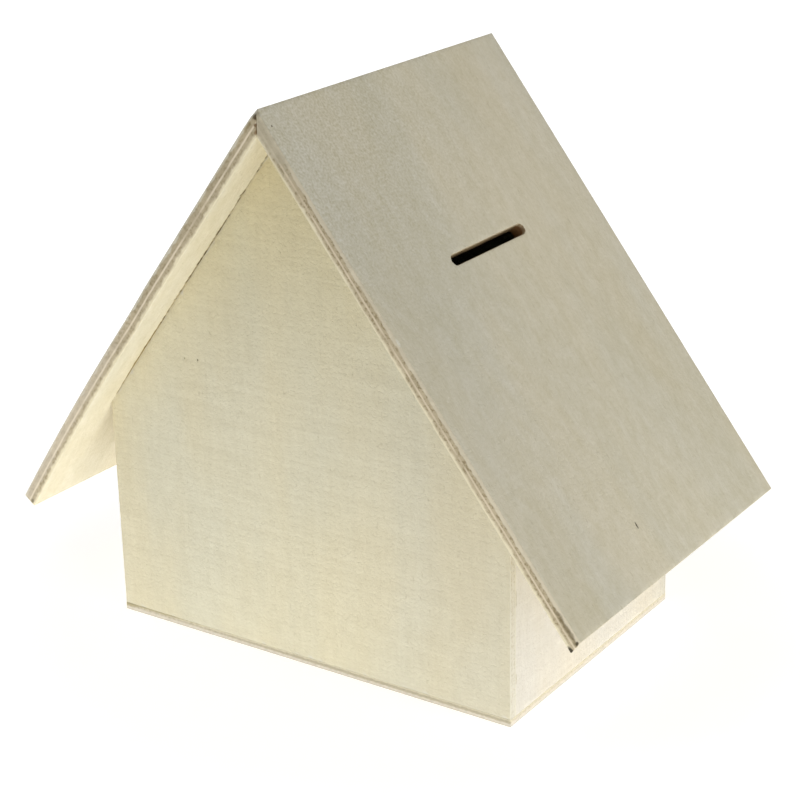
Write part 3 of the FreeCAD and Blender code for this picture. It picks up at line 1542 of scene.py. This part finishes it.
@dataclass
class Roof:
    """The two roof boards, mitred at the ridge, with the coin slot in the right one.

    Attributes:
        sizes: Sizes of the house.
        scorched: Plywood as it looks in the walls of the slot.
        seed: Number that the boards' grain starts from.
        slot_length: Length of the coin slot.
        slot_width: Width of the coin slot.
        slot_from_ridge: Distance of the slot's middle from the ridge.
        slot_shift: How far the slot was cut off the middle.
        slot_segments: Number of faces round each end of the slot.
        slot_taper: Width of the cutter's inner end, as a share of its outer end.
        easing: Rounding of the arrises.
        cell: Spacing of the lines that divide a board down the slope and along the ridge.
        rubbed: Wear of the arrises.
        bow: How far the left board bows out at the front, below the ridge.
        bow_span: Where that bow is fullest, down the slope.
        bow_reach: How far round that the bow goes.
        eave_curl: How far the left board's eave curls in.
        eave_stretch: How much longer the left board is than the right one.
        curl_reach: How far up the slope that curl goes.
        ridge_rub: How much of the left board's ridge is sanded off.
        splinter: How far the right board's lower front corner splinters out.
        splinter_reach: How far round that the splinter goes.
    """

    sizes: HouseSizes
    scorched: PlywoodFinish = SCORCHED_WOOD
    seed: float = 20.0
    slot_length: float = 32.9 * MM
    slot_width: float = 3.0 * MM
    slot_from_ridge: float = 50.0 * MM
    slot_shift: float = -0.55 * MM
    slot_segments: int = 12
    slot_taper: float = 0.84
    easing: float = 0.18 * MM
    cell: tuple[float, float] = (1.25 * MM, 2.0 * MM)
    rubbed: Wear = Wear("rubbed", 0.06 * MM, 1.2 * MM, 0.42, 3.5)
    bow: float = 0.22 * MM
    bow_span: tuple[float, float] = (5.0 * MM, 62.0 * MM)
    bow_reach: float = 12.0 * MM
    eave_curl: float = 2.0 * MM
    eave_stretch: float = 1.3 * MM
    curl_reach: float = 60.0 * MM
    ridge_rub: float = 0.16 * MM
    splinter: float = 1.0 * MM
    splinter_reach: float = 1.8 * MM

    def build(self) -> None:
        """Build and dress both boards."""
        for side in Side:
            self.panel(side)

    def panel(self, side: Side) -> None:
        """Mitre a roof board, cut its slot if it has one, ease it, wear it and dress it.

        Args:
            side: Slope to build.
        """
        sizes = self.sizes
        board = sizes.roof_frame(side)
        own = ROOF_BOARDS[side]
        node = f"{side.name.lower()}_roof_panel"
        middle = board.place(sizes.slope_length / 2, 0.0, sizes.roof_ply / 2)
        measure = (sizes.slope_length, 2 * sizes.roof_half_depth, sizes.roof_ply)
        work = Workpiece.block(f"{node}_board", middle, measure, side.value * sizes.pitch)
        work.saw(Vector(), -side.value * X_AXIS)
        if side is Side.RIGHT:
            work.carve(self._slot_cutter(board))
        work.ease(self.easing)
        work.prick(board, own.marks)
        corner = board.place(0.0, -sizes.roof_half_depth, 0.0)
        work.score(corner, measure[0] * board.grain, self.cell[0])
        work.score(corner, measure[1] * Y_AXIS, self.cell[1])
        work.wear(self.rubbed, lambda point: self._worn(board, point))
        work.map_board(board)
        if side is Side.LEFT:
            corner = self._warp(work, board)
        else:
            self._splinter(work, board)
        inward, down, drop = own.chip
        work.chip(corner, (inward * Y_AXIS, down * board.grain, -drop * Z_AXIS))
        # Painted shade in the pits goes on with the board's other patches
        stains_and_shade = [*own.stains_and_shade, *(mark.pit_shade() for mark in own.marks)]
        seed = self.seed + side.value
        work.dress(own.finish.material(f"{node} wood", sizes.roof_ply, seed, stains_and_shade))
        if side is Side.RIGHT:
            burnt = self.scorched.material("scorched slot wood", sizes.roof_ply, self.seed, SLOT_STAINS)
            work.repaint(lambda face: self._in_slot(board, face), burnt)
        work.hand_over(node, Body.HOUSE, Slot.ROOF)

    def _worn(self, board: BoardFrame, point: MeshVertex) -> float:
        """Give a weight of one to a point of a board's arrises, but of zero to one of its mitre."""
        mitred = abs(point.co.x) < self.easing and board.measure(point.co).z > 2 * self.easing
        return 0.0 if mitred else board.arris(point)

    def _in_slot(self, board: BoardFrame, face: BMFace) -> bool:
        """Tell whether a face is a wall of the slot.

        Args:
            board: Frame of the board that has the slot.
            face: Face to judge.

        Returns:
            Whether it lies in the slot and stands square to the board.
        """
        place = board.measure(face.calc_center_median())
        down = abs(place.x - self.slot_from_ridge) < self.slot_width / 2 + self.easing
        along = abs(place.y - self.slot_shift) < self.slot_length / 2 + self.easing
        return down and along and abs(face.normal.dot(board.outward)) < FACING

    def _slot_cutter(self, board: BoardFrame) -> Workpiece:
        """Make the round-ended cutter of the coin slot.

        Args:
            board: Frame of the board that is cut.

        Returns:
            The cutter, in its place.
        """
        depth = self.sizes.roof_ply + 2 * OVERRUN
        work = Workpiece.block("slot_cutter", Vector(), (self.slot_width, self.slot_length, depth))
        work.edit()
        work.pick(Pick.EDGES, lambda edge: abs((edge.verts[0].co - edge.verts[1].co).z) > depth / 2)
        bpy.ops.mesh.bevel(offset=ROUND_END * self.slot_width, segments=self.slot_segments, affect="EDGES")
        work.pick(Pick.POINTS, lambda point: point.co.z < 0.0)
        lower_wall = (self.slot_width / 2, 0.0, 0.0)
        bpy.ops.transform.resize(value=(self.slot_taper, 1.0, 1.0), center_override=lower_wall)
        work.clear()
        work.piece.location = board.place(self.slot_from_ridge, self.slot_shift, self.sizes.roof_ply / 2)
        work.piece.rotation_euler = (0.0, self.sizes.pitch, 0.0)
        work.settle()
        return work

    def _warp(self, work: Workpiece, board: BoardFrame) -> Vector:
        """Bow the left board out below the ridge, curl its eave in and sand its ridge.

        Args:
            work: Left board.
            board: Frame of the board.

        Returns:
            The board's front apex corner, where the bow has taken it.
        """
        sizes = self.sizes
        front = self.cell[1] - sizes.roof_half_depth
        eave = sizes.slope_length - 2 * self.easing

        def bowed(point: BMVert) -> bool:
            """Find the front edge where the bow is fullest."""
            place = board.measure(point.co)
            return self.bow_span[0] < place.x < self.bow_span[1] and place.y < front

        work.nudge(bowed, self.bow * board.outward, self.bow_reach)
        shift = self.eave_stretch * board.grain - self.eave_curl * board.outward
        work.nudge(lambda point: board.measure(point.co).x > eave, shift, self.curl_reach)
        work.saw((sizes.ridge_outer - self.ridge_rub) * Z_AXIS, Z_AXIS)
        return board.place(0.0, -sizes.roof_half_depth, -self.bow)

    def _splinter(self, work: Workpiece, board: BoardFrame) -> None:
        """Splinter the right board's lower front corner.

        Args:
            work: Right board.
            board: Frame of the board.
        """
        sizes = self.sizes
        tip = board.place(sizes.slope_length, -sizes.roof_half_depth, sizes.roof_ply)
        near = 2 * self.easing
        shift = self.splinter * board.grain
        work.nudge(lambda point: (point.co - tip).length < near, shift, self.splinter_reach)


@dataclass
class Stopper:
    """The moulded stopper: a cup that opens downwards, with a flange and a grip web.

    Attributes:
        finish: Plastic that it is moulded from.
        plug_radius: Radius of the plug.
        recess_radius: Radius of the recess.
        crown: Thickness of the crown above the recess.
        flange_top: Height of the flange's upper face.
        lead_in: Size of the chamfer that leads it into the hole.
        grip_thickness: Thickness of the grip web.
        grip_set_in: How far the web stays inside the recess.
        easing: Rounding of the edges.
        easing_segments: Number of faces across that rounding.
        sides: Number of sides of the round parts.
    """

    finish: MouldedPlasticFinish = BLACK_PLASTIC
    plug_radius: float = 14.92 * MM
    recess_radius: float = 13.42 * MM
    crown: float = 1.5 * MM
    flange_top: float = 0.9 * MM
    lead_in: float = 0.8 * MM
    grip_thickness: float = 2.0 * MM
    grip_set_in: float = 0.5 * MM
    easing: float = 0.22 * MM
    easing_segments: int = 3
    sides: int = 128

    def build(self) -> None:
        """Mould the stopper and dress it."""
        node = "base_stopper"
        low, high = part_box(node)
        work = Workpiece.disc("stopper_moulding", high.x, low.z, self.flange_top, self.sides)
        work.edit()
        work.pick(Pick.FACES, lambda face: face.normal.z > FACING)
        bpy.ops.mesh.inset(thickness=high.x - self.plug_radius)
        self._raise(high.z - self.lead_in - self.flange_top)
        self._raise(self.lead_in)
        narrow = 1.0 - self.lead_in / self.plug_radius
        bpy.ops.transform.resize(value=(narrow, narrow, 1.0), center_override=(0.0, 0.0, high.z))
        work.pick(Pick.FACES, lambda face: face.normal.z < -FACING)
        bpy.ops.mesh.inset(thickness=high.x - self.recess_radius)
        self._raise(high.z - self.crown - low.z)
        work.clear()
        work.carve(self._grip(low.z, high.z), "UNION")
        work.ease(self.easing, self.easing_segments)
        work.dress(self.finish.material("stopper plastic"))
        work.hand_over(node, Body.STOPPER, Slot.PLASTIC)

    @staticmethod
    def _raise(height: float) -> None:
        """Extrude the selected face upwards."""
        bpy.ops.mesh.extrude_region_move(TRANSFORM_OT_translate={"value": (0.0, 0.0, height)})

    def _grip(self, low: float, high: float) -> Workpiece:
        """Make the web across the recess.

        Args:
            low: Height of the flange's lower face.
            high: Height of the crown's upper face.

        Returns:
            The web, in its place.
        """
        foot = low + self.grip_set_in
        top = high - self.crown / 2
        span = self.plug_radius + self.recess_radius
        middle = Vector((0.0, 0.0, (foot + top) / 2))
        return Workpiece.block("grip", middle, (span, self.grip_thickness, top - foot))


# Studio

WHITE = (1.0, 1.0, 1.0, 1.0)


@dataclass(frozen=True)
class Lamp:
    """One soft lamp.

    Attributes:
        name: Name of the lamp.
        place: Where it stands.
        aim: What it points at.
        size: Length of its sides.
        power: Its power in watts.
    """

    name: str
    place: Triple
    aim: Triple
    size: float
    power: float


@dataclass
class Studio:
    """The white table, the surrounding light, the lamps and the camera.

    Attributes:
        camera_place: Where the camera stands.
        camera_aim: Point in the middle of the view.
        camera_roll: Turn of the camera about its own axis, in degrees.
        lens: Focal length in millimetres, on a sensor 36 mm wide.
        table_size: Side of the table.
        table_colour: Colour of the table.
        table_glow: Light that the table gives the house.
        glow_middle: Middle of that light on the table.
        glow_fade: Distances from there between which it fades out.
        footprint: Half width and half depth of the house.
        footprint_rim: Shares of the footprint between which it ends.
        footprint_glow: Share of the table's light that is left under the house.
        table_white: Light that lifts the table to white for the camera, near the house and far away.
        white_reach: Distances between which that light grows.
        room_glow: Light from all round.
        lamps: The lamps.
    """

    camera_place: Triple = (0.2836, -0.4101, 0.2490)
    camera_aim: Triple = (0.0, 0.0042, 0.0571)
    camera_roll: float = -1.27
    lens: float = 93.19
    table_size: float = 8.0
    table_colour: Colour = (0.9, 0.9, 0.9, 1.0)
    table_glow: float = 1.317
    glow_middle: Triple = (-0.06, -0.02, 0.0)
    glow_fade: tuple[float, float] = (0.2, 0.4)
    footprint: tuple[float, float] = (60.0 * MM, 40.0 * MM)
    footprint_rim: tuple[float, float] = (0.98, 1.0)
    footprint_glow: float = 0.25
    table_white: tuple[float, float] = (0.51, 0.85)
    white_reach: tuple[float, float] = (0.08, 0.18)
    room_glow: float = 0.33
    lamps: Sequence[Lamp] = (
        Lamp("right lamp", (0.75, -0.15, 0.28), (0.0, 0.0, 0.05), 0.7, 2.24),
        Lamp("left lamp", (-0.75, -0.10, 0.28), (0.0, 0.0, 0.05), 0.7, 1.76),
    )

    def build(self) -> None:
        """Set up the whole studio."""
        bpy.context.scene.view_settings.view_transform = "Standard"
        self._table()
        self._room()
        for lamp in self.lamps:
            self._lamp(lamp)
        self._camera()

    @staticmethod
    def _aimed(place: Triple, aim: Triple) -> Quaternion:
        """Give the turn that points a lamp or a camera from one place at another."""
        return (Vector(aim) - Vector(place)).to_track_quat("-Z", "Y")

    @staticmethod
    def _seen(sheet: NodeSheet) -> Node:
        """Tell what the camera sees, straight or by reflection, from what only gives light.

        Args:
            sheet: Sheet of the table or the room.

        Returns:
            One for what is seen and zero for what gives light.
        """
        path = sheet.add("LightPath").outputs
        direct = sheet.maths("MAXIMUM", path["Is Camera Ray"], path["Is Glossy Ray"])
        return sheet.maths("MAXIMUM", direct, path["Is Transmission Ray"])

    def _light(self, sheet: NodeSheet, place: NodeSocket) -> Node:
        """Work out the light that the table gives, less of it far away and under the house.

        Args:
            sheet: Sheet of the table.
            place: Place on the table.

        Returns:
            The light.
        """
        lit = sheet.length("DISTANCE", place, self.glow_middle)
        glow = sheet.times(sheet.rest(sheet.ramp(lit, *self.glow_fade)), self.table_glow)
        width, depth = self.footprint
        shares = sheet.vector("MULTIPLY", place, (1.0 / width, 1.0 / depth, 0.0))
        across = sheet.split(sheet.vector("ABSOLUTE", shares))
        outside = sheet.ramp(sheet.maths("MAXIMUM", across["X"], across["Y"]), *self.footprint_rim)
        beside = sheet.maths("MULTIPLY_ADD", outside, 1.0 - self.footprint_glow, self.footprint_glow)
        return sheet.times(glow, beside)

    def _table(self) -> None:
        """Lay the white table, which glows softly under the house and lets views from below through."""
        Workpiece.clear()
        bpy.ops.mesh.primitive_plane_add(size=self.table_size)
        table = Workpiece("table").piece
        material, sheet = new_material("white table")
        place = sheet.add("TexCoord").outputs["Object"]
        seen = self._seen(sheet)
        near, away = self.table_white
        far = sheet.ramp(sheet.length("LENGTH", place), *self.white_reach)
        lift = sheet.times(seen, sheet.maths("MULTIPLY_ADD", far, away - near, near))
        given = sheet.times(sheet.rest(seen), self._light(sheet, place))
        glow = sheet.add("Emission", WHITE, sheet.plus(lift, given))
        both = sheet.add("AddShader", sheet.add("BsdfDiffuse", self.table_colour), glow)
        below = sheet.add("NewGeometry").outputs["Backfacing"]
        either = sheet.add("MixShader", below, both, sheet.add("BsdfTransparent"))
        sheet.add("OutputMaterial", either)
        table.data.materials.append(material)

    def _room(self) -> None:
        """Fill the room with even light, white where it is seen."""
        world = bpy.data.worlds.new("white room")
        world.use_nodes = True
        bpy.context.scene.world = world
        sheet = NodeSheet(world.node_tree)
        light = sheet.add("Background", WHITE, self.room_glow)
        white = sheet.add("Background", WHITE, 1.0)
        sheet.add("OutputWorld", sheet.add("MixShader", self._seen(sheet), light, white))

    def _lamp(self, lamp: Lamp) -> None:
        """Stand one lamp in its place.

        Args:
            lamp: Lamp to set up.
        """
        turn = self._aimed(lamp.place, lamp.aim).to_euler()
        bpy.ops.object.light_add(type="AREA", location=lamp.place, rotation=turn)
        light = bpy.context.active_object
        light.name = lamp.name
        light.data.size = lamp.size
        light.data.energy = lamp.power

    def _camera(self) -> None:
        """Stand the camera at the photograph's viewing angle."""
        level = self._aimed(self.camera_place, self.camera_aim).to_matrix()
        turned = level @ Matrix.Rotation(math.radians(self.camera_roll), 3, "Z")
        bpy.ops.object.camera_add(location=self.camera_place, rotation=turned.to_euler())
        camera = bpy.context.active_object
        camera.name = "photo camera"
        camera.data.lens = self.lens
        bpy.context.scene.camera = camera


def main() -> None:
    """Build the money box's pieces and the studio, and note how large the result is."""
    logging.basicConfig(level=logging.INFO, format="%(name)s: %(message)s")
    sizes = HouseSizes.from_frame()
    for assembly in (Walls(sizes), Base(sizes), Roof(sizes), Stopper(), Studio()):
        assembly.build()


if __name__ == "__main__":
    main()
